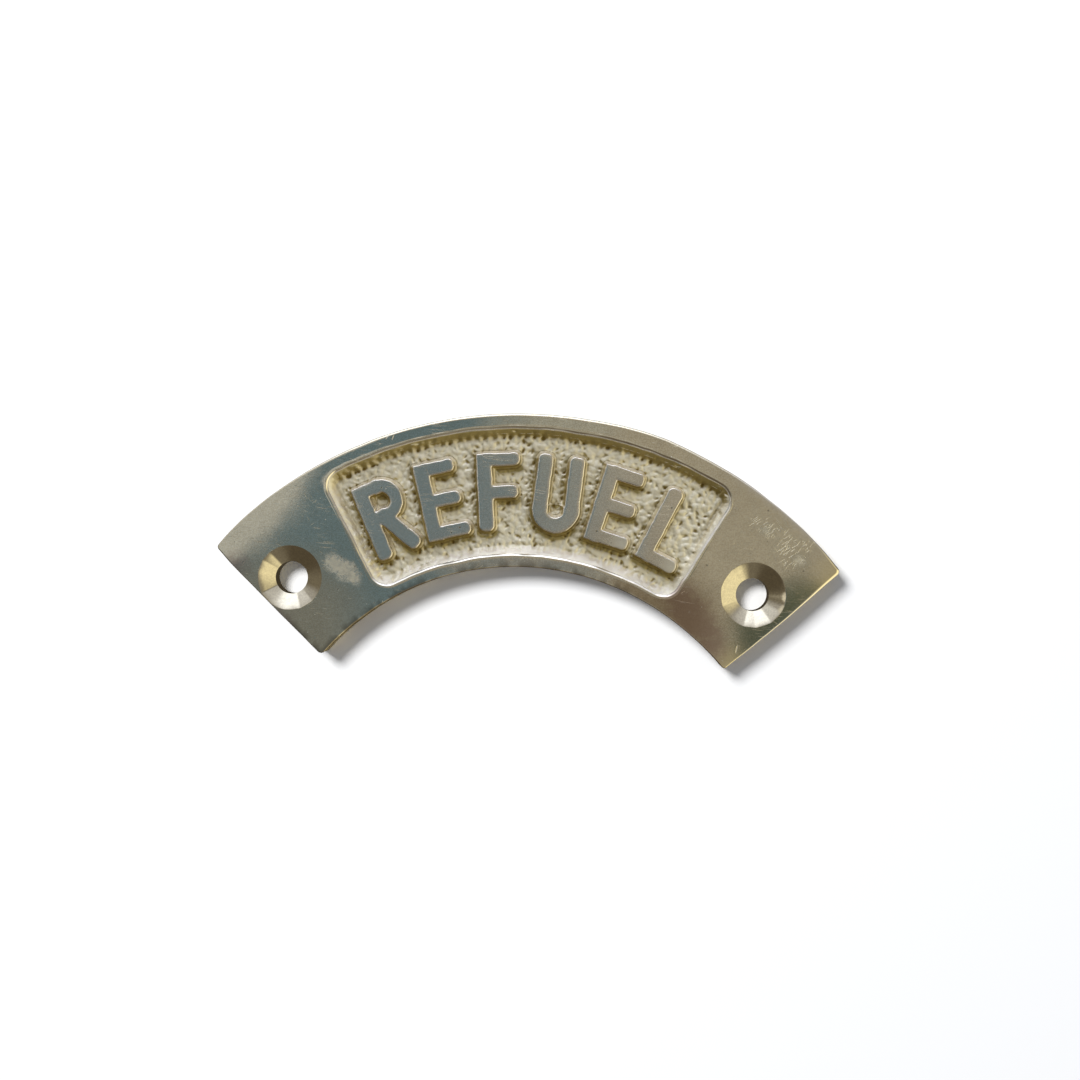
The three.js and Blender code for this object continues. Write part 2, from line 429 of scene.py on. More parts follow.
class Shell:
    """Points and faces of a closed mesh, gathered strip by strip."""

    def __init__(self):
        self.points, self.faces = [], []

    def ring(self, xy, z):
        """Adds a closed ring of points and returns their numbers."""
        start = len(self.points)
        z = np.broadcast_to(z, (len(xy),))
        self.points += [(p[0], p[1], h) for p, h in zip(xy, z)]
        return list(range(start, len(self.points)))

    def strips(self, rings):
        """Joins rings of equal length, each to the next, with quads."""
        for a, b in zip(rings, rings[1:]):
            self.faces += [list(quad) for quad in zip(a, a[1:] + a[:1], b[1:] + b[:1], b)]

    def fill(self, outer, inners, spacing, height, up=True):
        """Fills the space between rings with triangles on a fine spread of points."""
        rings = [outer] + inners
        polygons = [[self.points[i][:2] for i in ring] for ring in rings]
        border = [i for ring in rings for i in ring]
        place = {i: k for k, i in enumerate(border)}
        edges = [(place[i], place[j]) for ring in rings for i, j in zip(ring, ring[1:] + ring[:1])]
        verts = [p for polygon in polygons for p in polygon] + list(spread_points(polygons, spacing))
        out = delaunay_2d_cdt([Vector(p) for p in verts], edges, [], 0, 1e-7)
        xy, triangles, origins = out[0], out[2], out[3]
        number = {k: border[o[0]] for k, o in enumerate(origins) if o and o[0] < len(border)}
        loose = [k for k in range(len(xy)) if k not in number]
        x, y = np.array([xy[k] for k in loose]).T
        for k, point in zip(loose, zip(x, y, height(x, y))):
            number[k] = len(self.points)
            self.points.append(point)
        centres = np.array([sum((xy[k] for k in t), Vector((0, 0))) / 3 for t in triangles])
        kept = [[number[k] for k in t] for t, k in zip(triangles, between(centres, polygons)) if k]
        self.faces += kept if up else [face[::-1] for face in kept]


def inside(points, polygon):
    """Whether each point lies in the polygon."""
    x, y = points[:, 0], points[:, 1]
    result = np.zeros(len(points), bool)
    ring = np.array(polygon)
    for (x1, y1), (x2, y2) in zip(ring, np.roll(ring, -1, 0)):
        if y1 != y2:
            crosses = (y1 > y) != (y2 > y)
            result ^= crosses & (x < (x2 - x1) * (y - y1) / (y2 - y1) + x1)
    return result


def between(points, polygons):
    """Whether each point lies in the first polygon and outside the rest."""
    keep = inside(points, polygons[0])
    for hole in polygons[1:]:
        keep &= ~inside(points, hole)
    return keep


def spread_points(polygons, spacing):
    """Points of a staggered grid between the polygons and well away from them."""
    low, high = np.min(polygons[0], 0), np.max(polygons[0], 0)
    xs = np.arange(low[0], high[0], spacing)
    ys = np.arange(low[1], high[1], spacing * 0.866)
    gx, gy = np.meshgrid(xs, ys)
    gx = gx + spacing * 0.5 * (np.arange(len(ys)) % 2)[:, None]
    points = np.column_stack([gx.ravel(), gy.ravel()])
    points = points[between(points, polygons)]
    border = np.concatenate([np.array(p) for p in polygons])
    for chunk in np.array_split(border, 12):
        gap = np.hypot(points[:, None, 0] - chunk[None, :, 0], points[:, None, 1] - chunk[None, :, 1])
        points = points[gap.min(1) > 0.55 * spacing]
    return points


def arc_points(centre, r, start, end, spacing):
    """Points along an arc, without its last one, and their angles."""
    count = max(2, int(ceil(abs(end - start) * max(r, 0.3) / spacing)))
    a = start + (end - start) * np.arange(count) / count
    return np.column_stack([centre[0] + r * np.cos(a), centre[1] + r * np.sin(a)]), a


def sector_ring(radius, half_degrees, corner, spacing):
    """Points round a ring sector, anticlockwise, and the outward direction at each."""
    out, reach = end_plane(radius, half_degrees)
    along = np.array([-out[1], out[0]])
    reach -= corner

    def corner_centre(r):
        return out * reach + along * sqrt(r * r - reach * reach)

    outer, inner = corner_centre(radius[0] - corner), corner_centre(radius[1] + corner)
    outer_a, inner_a = atan2(outer[1], outer[0]), atan2(inner[1], inner[0])
    end_a = atan2(out[1], out[0])
    start, stop = outer + corner * out, inner + corner * out
    count = int(np.linalg.norm(stop - start) / spacing)
    t = (np.arange(count) / count)[:, None]
    inner_arc, inner_angles = arc_points((0, 0), radius[1], inner_a, pi / 2, spacing)
    parts = (
        arc_points((0, 0), radius[0], pi - outer_a, outer_a, spacing),
        arc_points(outer, corner, outer_a, end_a, spacing / 3),
        (start + (stop - start) * t, np.full(count, end_a)),
        arc_points(inner, corner, end_a, inner_a - pi, spacing / 3),
        (inner_arc, inner_angles + pi),
    )
    points, angles = (np.concatenate(values) for values in zip(*parts))
    ways = np.column_stack([np.cos(angles), np.sin(angles)])
    right = points[:, 0] > 1e-9
    return [np.concatenate([v[right], v[right][::-1] * (-1, 1)])[::-1] for v in (points, ways)]


def hand_filed(x, y):
    """How far filing by hand has moved the outline inwards."""
    depth = 0.03 + 0.03 * noise(x, y, 5, 81) + 0.02 * noise(x, y, 1.7, 82)
    for r, degrees, reach, cut in FILED:
        depth = depth + cut * spot(x, y, on_arc(r, degrees), reach)
    return depth


def top_rounding(edge):
    """The radius of the top edge's rounding, larger at the right tip and the crown."""
    x, y = edge.T
    near_tip = spot(x, y, on_arc(OUTER_R, END_DEG[0]), 6.0)
    return TOP_ROUND * (0.6 + 1.5 * near_tip + 0.9 * smooth(y, 46, 57))


def outer_rings(shell):
    """The rings from the back's edge up the outside and over the rounded top edge."""
    edge, outward = sector_ring((OUTER_R, INNER_R), END_DEG, CORNER_R, 0.3)
    filed = hand_filed(*edge.T)

    def inwards(inset):
        return edge - outward * (inset + filed)[:, None]

    def top_ring(inset, drop):
        xy = inwards(inset)
        return shell.ring(xy, land_height(*xy.T) - drop)

    sides = ((0.25, 0.0), (0.08, 0.05), (0.0, 0.25), (0.02, 1.2), (0.03, 2.2), (0.03, 3.1))
    rings = [shell.ring(inwards(inset), z) for inset, z in sides]
    radius = top_rounding(edge)
    for degrees in range(0, 91, 15):
        a = radians(degrees)
        rings.append(top_ring(radius * (1 - cos(a)) + 0.02, radius * (1 - sin(a))))
    rings.append(top_ring(radius + 0.06, 0.0))
    return rings


def panel_rings(shell):
    """The rings over the panel's rim and down its wall into the pocket under the ground."""
    rim, away = sector_ring(PANEL_R, PANEL_DEG, PANEL_CORNER_R, 0.2)
    rim = rim + away * panel_wander(*rim.T)[:, None]
    on_rim = (-0.72, -0.6, -0.52, -0.46, -0.4, -0.35, -RIM_EDGE, -0.25, -0.2, -0.15, -0.1, -0.05)
    on_wall = (0.0, 0.05, 0.1, 0.18, 0.26, 0.34, 0.43, 0.52, 0.62, 0.74)
    rings = []
    for inset in on_rim + on_wall:
        xy = rim - away * inset
        rings.append(shell.ring(xy, top_height(*xy.T)))
    xy = rim - away * 0.87
    rings.append(shell.ring(xy, top_height(*xy.T) - 0.4))
    rings.append(shell.ring(xy, POCKET_Z - 0.1))
    return rings


def plate_mesh():
    """The plate before it is drilled: outside, lands, the panel's wall and pocket, and back."""
    shell = Shell()
    rings = outer_rings(shell)
    shell.strips(rings)
    wall = panel_rings(shell)
    shell.strips(wall)
    shell.fill(rings[-1], [wall[0]], 0.75, land_height)

    def pocket(x, y):
        return np.full(x.shape, POCKET_Z - 0.1)

    def back(x, y):
        return 0.035 * (1 + noise(x, y, 7, 91)) * smooth(-outline_distance(x, y), 0.3, 1.5)

    shell.fill(wall[-1], [], 4.0, pocket)
    shell.fill(rings[0], [], 0.9, back, up=False)
    return shell


def outline_distance(x, y):
    return sector_distance(x, y, (OUTER_R, INNER_R), END_DEG, CORNER_R)


def drill_profile():
    """Radius, height and share of the chatter, up the bore and the cone and out of the top."""
    hole, head = SCREW_HOLE_R, SCREW_HEAD_R
    spread = tan(radians(COUNTERSINK_DEG / 2))
    cone = ((hole, 0.0), (hole + 0.8, 0.6), (head - 0.7, 0.9), (head - 0.14, 0.6))
    profile = [(hole, -1.0, 0.0)]
    profile += [(radius, LAND_Z - (head - radius) / spread, share) for radius, share in cone]
    profile += [(head, THICKNESS - 0.057, 0.5), (head + 0.05, THICKNESS + 0.05, 0.45)]
    profile += [(head + 0.9, THICKNESS + 0.9, 0.45)]
    return profile


def drill_shape(number, r, degrees):
    """The metal that the drill takes out of a screw hole. The cone has faint flats on one side."""
    a = np.linspace(0, 2 * pi, 16 * FLATS, endpoint=False)
    uneven = a + 0.18 * np.sin(2 * a + 1.1 + number) + 0.08 * np.sin(5 * a + 2 * number)
    along_flat = 2 * ((uneven * FLATS / (2 * pi) + 0.36 + 0.3 * number) % 1) - 1
    chatter = CHATTER * (1 - along_flat**2) * smooth(np.cos(a - radians(CHATTER_SIDE)), -0.5, 0.1)
    cx, cy = on_arc(r, degrees)
    shell = Shell()
    rings = []
    for radius, z, share in drill_profile():
        grown = radius - chatter * share
        rings.append(shell.ring(np.column_stack([cx + grown * np.cos(a), cy + grown * np.sin(a)]), z))
    shell.strips(rings)
    shell.faces += [list(reversed(rings[0])), rings[-1]]
    return shell


def cut_away(plate, shell):
    """Cuts a closed shape out of the plate."""
    mesh = new_mesh("cutter", shell.points, shell.faces)
    mesh.update()
    cutter = in_scene("cutter", mesh)
    cut = plate.modifiers.new("cut", "BOOLEAN")
    cut.operation = "DIFFERENCE"
    cut.solver = "EXACT"
    cut.object = cutter
    bpy.context.view_layer.update()
    graph = bpy.context.evaluated_depsgraph_get()
    result = bpy.data.meshes.new_from_object(plate.evaluated_get(graph))
    plate.modifiers.clear()
    plate.data = result
    bpy.data.objects.remove(cutter)
    bpy.data.meshes.remove(mesh)


def make_plate():
    shell = plate_mesh()
    plate = make_piece("brass_plate", shell.points, shell.faces, "cast_plate")
    for number, (r, degrees) in enumerate(SCREWS):
        cut_away(plate, drill_shape(number, r, degrees))
    plate.data.shade_smooth()
    plate.data.set_sharp_from_angle(angle=radians(32))
    return plate


def grid_faces(index):
    """Quads between the numbered points of a grid."""
    corners = index[:-1, :-1], index[:-1, 1:], index[1:, 1:], index[1:, :-1]
    return np.column_stack([c.ravel() for c in corners])


def make_ground():
    """The panel's pebbled floor, from half way up its walls, with its edge hidden in the plate."""
    edge = 0.42
    rows, columns = 170, 520
    radii = np.linspace(PANEL_R[1] + edge, PANEL_R[0] - edge, rows)
    out, reach = end_plane(PANEL_R, PANEL_DEG)
    half = atan2(out[0], out[1])
    limit = half - np.arccos((reach - edge) / radii)
    angle = np.outer(limit, np.linspace(-1, 1, columns))
    x = radii[:, None] * np.sin(angle)
    y = radii[:, None] * np.cos(angle)
    sunk = 0.35 * smooth(0.66 - panel_inset(x, y), 0, 0.2)
    under = smooth(0.40 - letters_distance(x, y), 0, 0.3)
    z = np.maximum(top_height(x, y) - sunk - 2.0 * under, POCKET_Z + 0.15)
    top = np.stack([x, y, z], -1).reshape(-1, 3)
    index = np.arange(x.size).reshape(x.shape)
    faces = grid_faces(index).tolist()
    border = np.concatenate([index[0], index[1:, -1], index[-1, -2::-1], index[-2:0:-1, 0]]).tolist()
    bottom = top[border]
    bottom[:, 2] = POCKET_Z
    foot = list(range(len(top), len(top) + len(border)))
    faces += [list(q) for q in zip(border, foot, foot[1:] + foot[:1], border[1:] + border[:1])]
    faces.append(foot[::-1])
    points = np.concatenate([top, bottom])
    return make_piece("pebbled_ground", points, faces, "recess_ground")


def snapped(x, y, reach):
    """Moves points beside a letter's edge on to it, so that the edge is clean."""
    distance = letters_distance(x, y)
    east, north = letters_slope(x, y, distance, 0.02)
    for level in (0.0, -EDGE):
        off = np.where(np.abs(distance - level) < reach, level - distance, 0)
        x, y = x + off * east, y + off * north
    return x, y


def one_patch(wanted):
    """The largest patch of wanted cells, with no two cells that meet only at a corner."""
    for lean in (1, -1, 1, -1):
        part = wanted[:, ::lean]
        corner_only = part[:-1, :-1] & part[1:, 1:] & ~part[:-1, 1:] & ~part[1:, :-1]
        part[:-1, 1:] |= corner_only
    best = np.zeros_like(wanted)
    left = wanted.copy()
    while left.sum() > best.sum():
        patch = np.zeros_like(wanted)
        patch.ravel()[np.argmax(left)] = True
        size = 0
        while patch.sum() > size:
            size = patch.sum()
            grown = patch.copy()
            for shift, axis in ((1, 0), (-1, 0), (1, 1), (-1, 1)):
                grown |= np.roll(patch, shift, axis)
            patch = grown & wanted
        left &= ~patch
        if patch.sum() > best.sum():
            best = patch
    return best


def closed_block(top, cells, bottom_z):
    """A block's points and faces: a patch of cells, walls down from its border and a flat foot."""
    used, cells = np.unique(cells, return_inverse=True)
    cells = cells.reshape(-1, 4).tolist()
    top = top[used]
    bottom = top.copy()
    bottom[:, 2] = bottom_z
    count = len(top)
    faces = cells + [[c + count for c in reversed(cell)] for cell in cells]
    sides = dict.fromkeys(side for cell in cells for side in zip(cell, cell[1:] + cell[:1]))
    faces += [[a, a + count, b + count, b] for a, b in sides if (b, a) not in sides]
    return np.concatenate([top, bottom]), faces


def make_letter(node, letter, width, degrees):
    """A raised letter as a closed block whose foot is hidden in the ground."""
    pitch, margin = 0.085, 0.95
    middle, right, up = letter_axes(degrees)
    counts = [int((size + 2 * margin) / pitch) + 1 for size in (width, LETTER_HEIGHT)]
    u, v = np.meshgrid(*[(np.arange(n) - (n - 1) / 2) * pitch for n in counts])
    x = middle[0] + u * right[0] + v * up[0]
    y = middle[1] + u * right[1] + v * up[1]
    x, y = snapped(x, y, pitch / 2)
    distance = letters_distance(x, y)
    z = top_height(x, y) - 0.45 * smooth(distance, FOOT - 0.14, FOOT)
    z = np.maximum(z, POCKET_Z + 0.12)
    cells = grid_faces(np.arange(x.size).reshape(x.shape))
    own = soft_union(letter_strokes(letter, width, u, v))
    near = distance.ravel()[cells].mean(1) < FOOT
    nearest = (own - distance).ravel()[cells].mean(1) < 0.2
    cells = cells[one_patch((near & nearest).reshape(counts[1] - 1, -1)).ravel()]
    top = np.stack([x, y, z], -1).reshape(-1, 3)
    points, faces = closed_block(top, cells, POCKET_Z + 0.02)
    return make_piece("raised_" + node, points, faces, node)


# ---- camera, floor and light ----
CAMERA_HEIGHT = 0.190
CAMERA_FOOT = (0.0091, 0.0016)
AIM = (0.0021, -0.00025)
VIEW_WIDTH = 0.161  # the width that the picture takes in, at the plate's top
CAMERA_ROLL = 2.25  # degrees that the plate looks turned clockwise
LAMP_WAY = (-47, 49.5)  # azimuth and elevation
LAMP_DISTANCE = 1.6


def make_camera():
    """A camera that looks down at the plate from where the photo was taken."""
    data = bpy.data.cameras.new("camera")
    camera = in_scene("camera", data)
    place = Vector((*CAMERA_FOOT, CAMERA_HEIGHT + THICKNESS * MM))
    target = Vector((*AIM, THICKNESS * MM))
    back = (place - target).normalized()
    up = Matrix.Rotation(radians(CAMERA_ROLL), 3, "Z") @ Vector((0, 1, 0))
    right = up.cross(back).normalized()
    up = back.cross(right)
    camera.matrix_world = Matrix.Translation(place) @ Matrix((right, up, back)).transposed().to_4x4()
    data.sensor_width = 36
    data.lens = 36 * (place - target).length / VIEW_WIDTH
    data.clip_start = 0.01
    bpy.context.scene.camera = camera


def make_floor():
    """A white table that the metal doesn't mirror."""
    mesh = bpy.data.meshes.new("floor")
    mesh.from_pydata([(-3, -3, 0), (3, -3, 0), (3, 3, 0), (-3, 3, 0)], [], [[0, 1, 2, 3]])
    floor = in_scene("floor", mesh)
    floor.location.z = -0.00002
    floor.visible_glossy = False
    material = bpy.data.materials.new("white_table")
    material.use_nodes = True
    shader = material.node_tree.nodes["Principled BSDF"]
    shader.inputs["Base Color"].default_value = (0.9, 0.9, 0.9, 1)
    shader.inputs["Roughness"].default_value = 0.9
    shader.inputs["Specular IOR Level"].default_value = 0.1
    mesh.materials.append(material)


def direction(azimuth, elevation):
    """A unit vector from an azimuth, clockwise from +Y, and an elevation."""
    a, e = radians(azimuth), radians(elevation)
    return Vector((sin(a) * cos(e), cos(a) * cos(e), sin(e)))


def make_lamp():
    """A round lamp, the window's light on the table, which the metal doesn't mirror."""
    data = bpy.data.lights.new("window", "AREA")
    data.shape = "DISK"
    data.size = 0.62
    data.energy = 32
    lamp = in_scene("window", data)
    way = direction(*LAMP_WAY)
    lamp.location = way * LAMP_DISTANCE
    lamp.rotation_mode = "QUATERNION"
    lamp.rotation_quaternion = way.to_track_quat("Z", "Y")
    lamp.visible_glossy = False


# What the metal mirrors: soft patches of light and shade round the table, painted one over the
# other. Each has a name, azimuth, elevation, the angles at which it is whole and gone, and colour.
SURROUNDINGS = (
    ("table", 0, -90, 76, 92, (0.06, 0.05, 0.035)),
    ("window glow", -8, 12, 20, 72, (0.9, 0.97, 1.2)),
    ("window wall", -8, 12, 8, 40, (1.8, 2.0, 2.6)),
    ("lamp", 106, 8, 32, 58, (1.15, 1.1, 0.85)),
    ("white board", -92, 45, 4, 9, (0.9, 0.9, 0.9)),
    ("door frame", -60, 48, 4, 12, (0.8, 0.82, 0.86)),
    ("coat", -127, 48, 4, 12, (0.45, 0.44, 0.42)),
    ("dark door", -140, 24, 18, 44, (0.11, 0.095, 0.075)),
    ("ceiling", 0, 90, 24, 46, (0.35, 0.345, 0.34)),
    ("blue shade", -90, 70, 17.5, 21.8, (0.125, 0.19, 0.27)),
    ("skylight", -12, 83.0, 1.0, 4.4, (0.365, 0.385, 0.41)),
    ("pale curtain", -73, 65.5, 11.95, 12.35, (0.45, 0.49, 0.57)),
    ("doorway", -112, 75.4, 1.5, 4.8, (0.18, 0.20, 0.225)),
    ("sideboard", -157, 83.5, 3.8, 6.3, (0.262, 0.28, 0.33)),
    ("chair", 143, 84.6, 1.3, 3.6, (0.20, 0.175, 0.15)),
    ("dark shelf", 116, 79.8, 1.8, 3.0, (0.09, 0.11, 0.10)),
)
SHADE = (0.205, 0.19, 0.165)  # the rest of the room
DAYLIGHT = (0.26, 0.273, 0.295)  # the light that the room gives the table


def make_world():
    world = bpy.data.worlds.new("studio")
    bpy.context.scene.world = world
    world.use_nodes = True
    world.cycles.sampling_method = "NONE"
    tree = world.node_tree
    background = tree.nodes["Background"]
    way = add_node(tree, "TexCoord").outputs["Generated"]
    colour = (*SHADE, 1)
    for _, azimuth, elevation, whole, gone, light in SURROUNDINGS:
        middle = direction(azimuth, elevation)
        near = add_node(tree, "VectorMath", [way, middle], operation="DOT_PRODUCT")
        mask = step(near.outputs["Value"], cos(radians(gone)), cos(radians(whole)))
        colour = mix_colour(mask, colour, (*light, 1))
    path = add_node(tree, "LightPath")
    plain = mix_colour(path.outputs["Is Camera Ray"], (*DAYLIGHT, 1), (1, 1, 1, 1))
    seen = mix_colour(path.outputs["Is Glossy Ray"], plain, colour)
    tree.links.new(seen, background.inputs["Color"])


# ---- shader nodes: those made from a socket join its own tree ----
def add_node(tree, kind, inputs=(), **settings):
    """A node whose first inputs are given, each a value or another node's output."""
    node = tree.nodes.new("ShaderNode" + kind)
    for key, value in settings.items():
        setattr(node, key, value)
    named = inputs.items() if isinstance(inputs, dict) else enumerate(inputs)
    for key, value in named:
        if isinstance(value, bpy.types.NodeSocket):
            tree.links.new(value, node.inputs[key])
        elif value is not None:
            node.inputs[key].default_value = value
    return node


def maths(operation, a, b=None, c=None, clamp=False):
    return add_node(a.id_data, "Math", [a, b, c], operation=operation, use_clamp=clamp).outputs[0]


def step(value, low, high, to_low=0.0, to_high=1.0):
    """A soft step of value from low to high."""
    inputs = [value, low, high, to_low, to_high]
    return add_node(value.id_data, "MapRange", inputs, interpolation_type="SMOOTHSTEP").outputs[0]


def mix_colour(share, a, b):
    return add_node(share.id_data, "Mix", {0: share, 6: a, 7: b}, data_type="RGBA").outputs[2]


def mix_value(share, a, b):
    return add_node(share.id_data, "Mix", {0: share, 2: a, 3: b}).outputs[0]


def attribute(tree, name):
    return add_node(tree, "Attribute", attribute_name=name).outputs["Fac"]


def millimetres(tree, stretch=(1, 1, 1), turn=0.0, shift=(0, 0, 0)):
    """Coordinates on the piece in millimetres, turned about Z and stretched."""
    place = add_node(tree, "TexCoord").outputs["Object"]
    turned = add_node(tree, "VectorRotate", {"Vector": place, "Angle": radians(turn)})
    inputs = {"Vector": turned.outputs[0], "Location": shift, "Scale": [1 / (MM * s) for s in stretch]}
    return add_node(tree, "Mapping", inputs).outputs[0]


def grain(where, size, detail=2.0, rough=0.5):
    """Noise from 0 to 1 with blobs of about size millimetres."""
    inputs = {"Vector": where, "Scale": 1 / size, "Detail": detail, "Roughness": rough}
    return add_node(where.id_data, "TexNoise", inputs).outputs["Fac"]


def bump(height, depth, strength=1.0, under=None):
    """Bumps of a depth in millimetres, over the bumps under them."""
    inputs = {"Height": height, "Distance": depth * MM, "Strength": strength, "Normal": under}
    return add_node(height.id_data, "Bump", inputs).outputs[0]


def far_from(where, point):
    """The distance from a point."""
    node = add_node(where.id_data, "VectorMath", [where, point], operation="DISTANCE")
    return node.outputs["Value"]


def raised(value, mask, amount):
    """A value, raised by an amount where the mask is 1."""
    return maths("MULTIPLY_ADD", mask, amount, value)


def total(masks):
    """The sum of some masks, at most 1."""
    result = masks[0]
    for mask in masks[1:]:
        result = maths("ADD", result, mask, clamp=True)
    return result


def layered(colour, layers):
    """A colour under others, each with a mask and the share that it takes where that is 1."""
    for mask, share, over in layers:
        colour = mix_colour(maths("MULTIPLY", mask, share), colour, over)
    return colour


# ---- marks on the polished face: every place is in the row's frame, in millimetres ----
SMUDGES = (  # x, y and radius, here and in the next three
    (-28.8, -4.6, 1.2), (-27.0, -5.9, 1.4), (-25.3, -7.2, 0.7), (40.6, -1.8, 0.8), (35.5, 2.6, 0.6),
)
RED_PLACES = (
    (23.3, -8.0, 2.2), (25.4, -11.4, 2.8), (28.2, -14.8, 2.0), (-43.6, -6.0, 1.6), (-36.8, -14.0, 1.7),
)
GOLDEN_PLACES = ((46.5, -4.5, 3.0), (43.5, -8.0, 2.5), (40.5, -11.5, 2.0), (31.5, -17.5, 2.5))
SCUFFS = ((39.4, -0.6, 2.2), (37.0, 2.9, 1.9), (33.6, 4.0, 1.1), (42.0, 0.2, 0.8))
SCUFF_TURNS = (-56, -34, 48)
NICKS = (  # x, y, degrees, length and width
    (31.9, -15.3, 80, 1.3, 0.2),
    (-21.3, 14.4, 62, 1.2, 0.16),
    (-20.5, 14.2, 70, 0.8, 0.14),
)
SCRATCHES = (  # degrees, length, width, rarity and seed
    (8, 4.0, 0.09, 0.58, 1),
    (-35, 2.0, 0.08, 0.62, 2),
    (62, 1.6, 0.08, 0.62, 3),
    (24, 1.6, 0.10, 0.57, 4),
    (2, 5.0, 0.06, 0.54, 5),
)


def places(where, spots, ragged, soft):
    """A mask of patches with ragged edges, each edge soft over a given width."""
    uneven = maths("MULTIPLY_ADD", grain(where, 1.6, 5.0, 0.7), 2 * ragged, -ragged)
    masks = []
    for x, y, radius in spots:
        reach = maths("ADD", far_from(where, (x, y, THICKNESS)), uneven)
        masks.append(step(reach, radius + soft / 2, radius - soft / 2))
    return total(masks)


def scratches(tree, turn, length, width, rarity, seed, thinness=0.74):
    """Short, thin lines that lie roughly one way."""
    where = millimetres(tree, (length, width, 1), turn, (seed * 7.3, seed * 3.1, 0))
    line = step(grain(where, 1.0, 0.0), thinness, thinness + 0.06)
    patch = grain(millimetres(tree, shift=(seed, -seed, 0)), 4.0, 1.0)
    return maths("MULTIPLY", line, step(patch, rarity, rarity + 0.12))


def nick(tree, x, y, turn, length, width):
    """A mask of one short stroke, its middle in the row's frame."""
    where = millimetres(tree, (length, width, 1), -turn)
    c, s = cos(radians(turn)), sin(radians(turn))
    middle = ((x * c + y * s) / length, (y * c - x * s) / width, THICKNESS)
    return step(far_from(where, middle), 0.55, 0.35)


def scuffing(tree, where):
    """Coarse scratches in a few patches, and the nicks."""
    coarse = [scratches(tree, turn, 1.5, 0.12, 0.36, 6 + turn, 0.67) for turn in SCUFF_TURNS]
    patches = maths("MULTIPLY", total(coarse), places(where, SCUFFS, 2.0, 2.5))
    return total([patches] + [nick(tree, *entry) for entry in NICKS])


def specks(where, scale, size, rarity):
    """A mask of round specks in some cells of a random pattern."""
    tree = where.id_data
    cells = add_node(tree, "TexVoronoi", {"Vector": where, "Scale": scale, "Randomness": 1.0})
    chance = add_node(tree, "SeparateColor", [cells.outputs["Color"]]).outputs[0]
    speck = step(cells.outputs["Distance"], *size)
    return maths("MULTIPLY", speck, step(chance, *rarity))


def polish_marks(tree, where):
    """The masks of all that the polished face has gathered, by name."""
    mottle = grain(where, 0.5, 3.0, 0.7)
    cloud = grain(where, 5.0, 4.0, 0.6)
    smudge = places(where, SMUDGES, 1.3, 1.7)
    scuff = scuffing(tree, where)
    spark = specks(where, 0.9, (0.11, 0.05), (0.80, 0.82))
    return {
        "mottle": mottle,
        "tarnish": step(raised(cloud, mottle, 0.8), 0.72, 1.12),
        "streak": grain(millimetres(tree, (3.5, 0.14, 1), 3), 1.0, 2.0, 0.6),
        "line": total([scratches(tree, *entry) for entry in SCRATCHES]),
        "pit": specks(where, 0.55, (0.10, 0.045), (0.45, 0.5)),
        "smudge": maths("MULTIPLY", smudge, step(mottle, 0.35, 0.6, 0.6, 1.0)),
        "scuff": scuff,
        "bared": total([scuff, spark]),
        "red": places(where, RED_PLACES, 2.0, 3.2),
        "golden": places(where, GOLDEN_PLACES, 1.5, 5.0),
    }


# ---- materials ----
BRASS = (0.91, 0.785, 0.52, 1)
TARNISHED = (0.80, 0.68, 0.44, 1)
FILM = (0.66, 0.56, 0.37, 1)
GOLDEN = (0.93, 0.77, 0.41, 1)
RED_TARNISH = (0.54, 0.38, 0.28, 1)
# Pale colour for painted highlights and rubbed wear.
PALE_WEAR_AND_HIGHLIGHT = (0.95, 0.87, 0.71, 1)
# Dark colour for painted shade on the polished brass, and for soot along the inner edge.
POLISHED_SOOT_AND_SHADE = (0.30, 0.24, 0.15, 1)
PITTED = (0.25, 0.2, 0.12, 1)
RAW = (1.0, 0.92, 0.69, 1)
BLOTCH = (0.80, 0.70, 0.50, 1)
# Olive colour for painted shade on the raw brass, and for soot along the inner edge.
RAW_SOOT_AND_SHADE = (0.50, 0.40, 0.15, 1)
# Dark olive for patina and painted shade in the hollows.
HOLLOW_PATINA_AND_SHADE = (0.34, 0.25, 0.07, 1)
CUT = ((0.80, 0.70, 0.47, 1), (0.68, 0.59, 0.40, 1))
CUT_FLECK = (0.48, 0.41, 0.30, 1)
LINISHED = (0.84, 0.70, 0.44, 1)
BACK_DIRT = (0.48, 0.37, 0.20, 1)


def metal(name, finish):
    """A bare metal whose colour, roughness and bumps come from a finish's own nodes."""
    material = bpy.data.materials.new(name)
    material.use_nodes = True
    tree = material.node_tree
    shader = tree.nodes["Principled BSDF"]
    shader.inputs["Metallic"].default_value = 1
    values = finish(tree, millimetres(tree))
    for socket, value in zip(("Base Color", "Roughness", "Normal"), values):
        tree.links.new(value, shader.inputs[socket])
    return material


def polished_colour(tree, where, marks):
    """Bright brass under a thin, uneven film, then its marks, painted highlight and painted shade."""
    freckle = step(grain(where, 0.38, 3.0, 0.7), 0.38, 0.62)
    worn = maths("MULTIPLY", step(marks["streak"], 0.45, 0.75), 0.35)
    worn = raised(worn, freckle, 0.5)
    bright = mix_colour(total([marks["tarnish"], worn]), BRASS, TARNISHED)
    film = step(grain(where, 2.4, 5.0, 0.75), 0.46, 0.66)
    for mask, share in ((step(marks["streak"], 0.5, 0.72), 0.8), (freckle, 0.55)):
        film = maths("MAXIMUM", film, maths("MULTIPLY", mask, share))
    layers = (
        (film, 0.6, FILM),
        (step(grain(where, 0.22, 2.0, 0.6), 0.42, 0.60), 0.4, RAW),
        (marks["golden"], 0.8, GOLDEN),
        (marks["bared"], 0.7, RAW),
        (marks["smudge"], 0.6, RAW),
        (attribute(tree, "wear_and_highlight"), 0.85, PALE_WEAR_AND_HIGHLIGHT),
        (attribute(tree, "soot_and_shade"), 0.8, POLISHED_SOOT_AND_SHADE),
        (marks["red"], 0.7, RED_TARNISH),
        (marks["pit"], 0.7, PITTED),
    )
    return layered(bright, layers)


